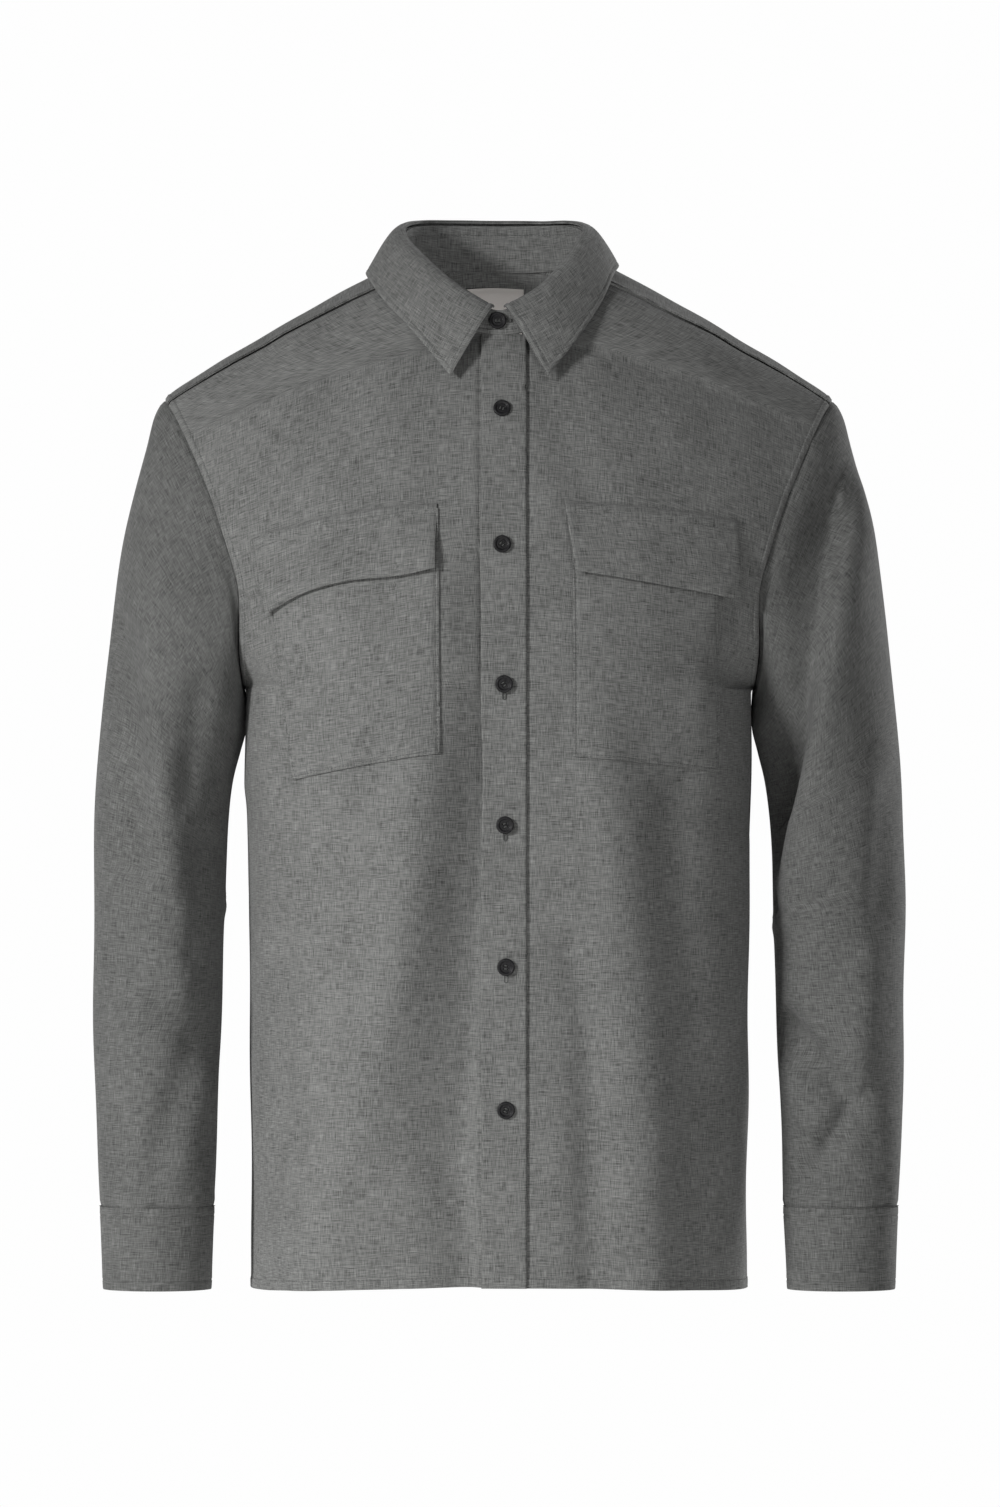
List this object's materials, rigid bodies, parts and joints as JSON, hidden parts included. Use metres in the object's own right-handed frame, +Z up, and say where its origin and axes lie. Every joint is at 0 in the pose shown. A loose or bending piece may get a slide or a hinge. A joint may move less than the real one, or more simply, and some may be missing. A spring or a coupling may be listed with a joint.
{
  "type": "shirt",
  "caption": "Long-sleeved button-front overshirt, filled out and hollow, with a pointed collar, flapped chest patch pockets and buttoned cuffs.",
  "frame": {"origin": "midway between the sleeves, at the height where the collar stand meets the yoke at the back of the neck, inside the open neck", "axes": "+Z up, front towards -Y, +X to the wearer's left; stored as worn, upright"},
  "size_m": [0.5968, 0.2737, 0.7853],
  "materials": {
    "cloth": "grey melange weave, matt",
    "button": "black, satin",
    "label": "blank woven tape"
  },
  "bodies": {
    "root": {"front_right": "cloth", "front_left": "cloth", "back": "cloth", "yoke": "cloth", "sleeve_right": "cloth", "cuff_right": "cloth", "sleeve_left": "cloth", "cuff_left": "cloth", "button_placket": "cloth", "pocket_right": "cloth", "pocket_left": "cloth", "flap_right": "cloth", "flap_left": "cloth", "collar_stand": "cloth", "collar_leaf": "cloth", "button_1": "button", "button_2": "button", "button_3": "button", "button_4": "button", "button_5": "button", "button_6": "button", "button_7": "button", "cuff_button_right": "button", "cuff_button_left": "button", "label": "label"}
  },
  "joints": []
}
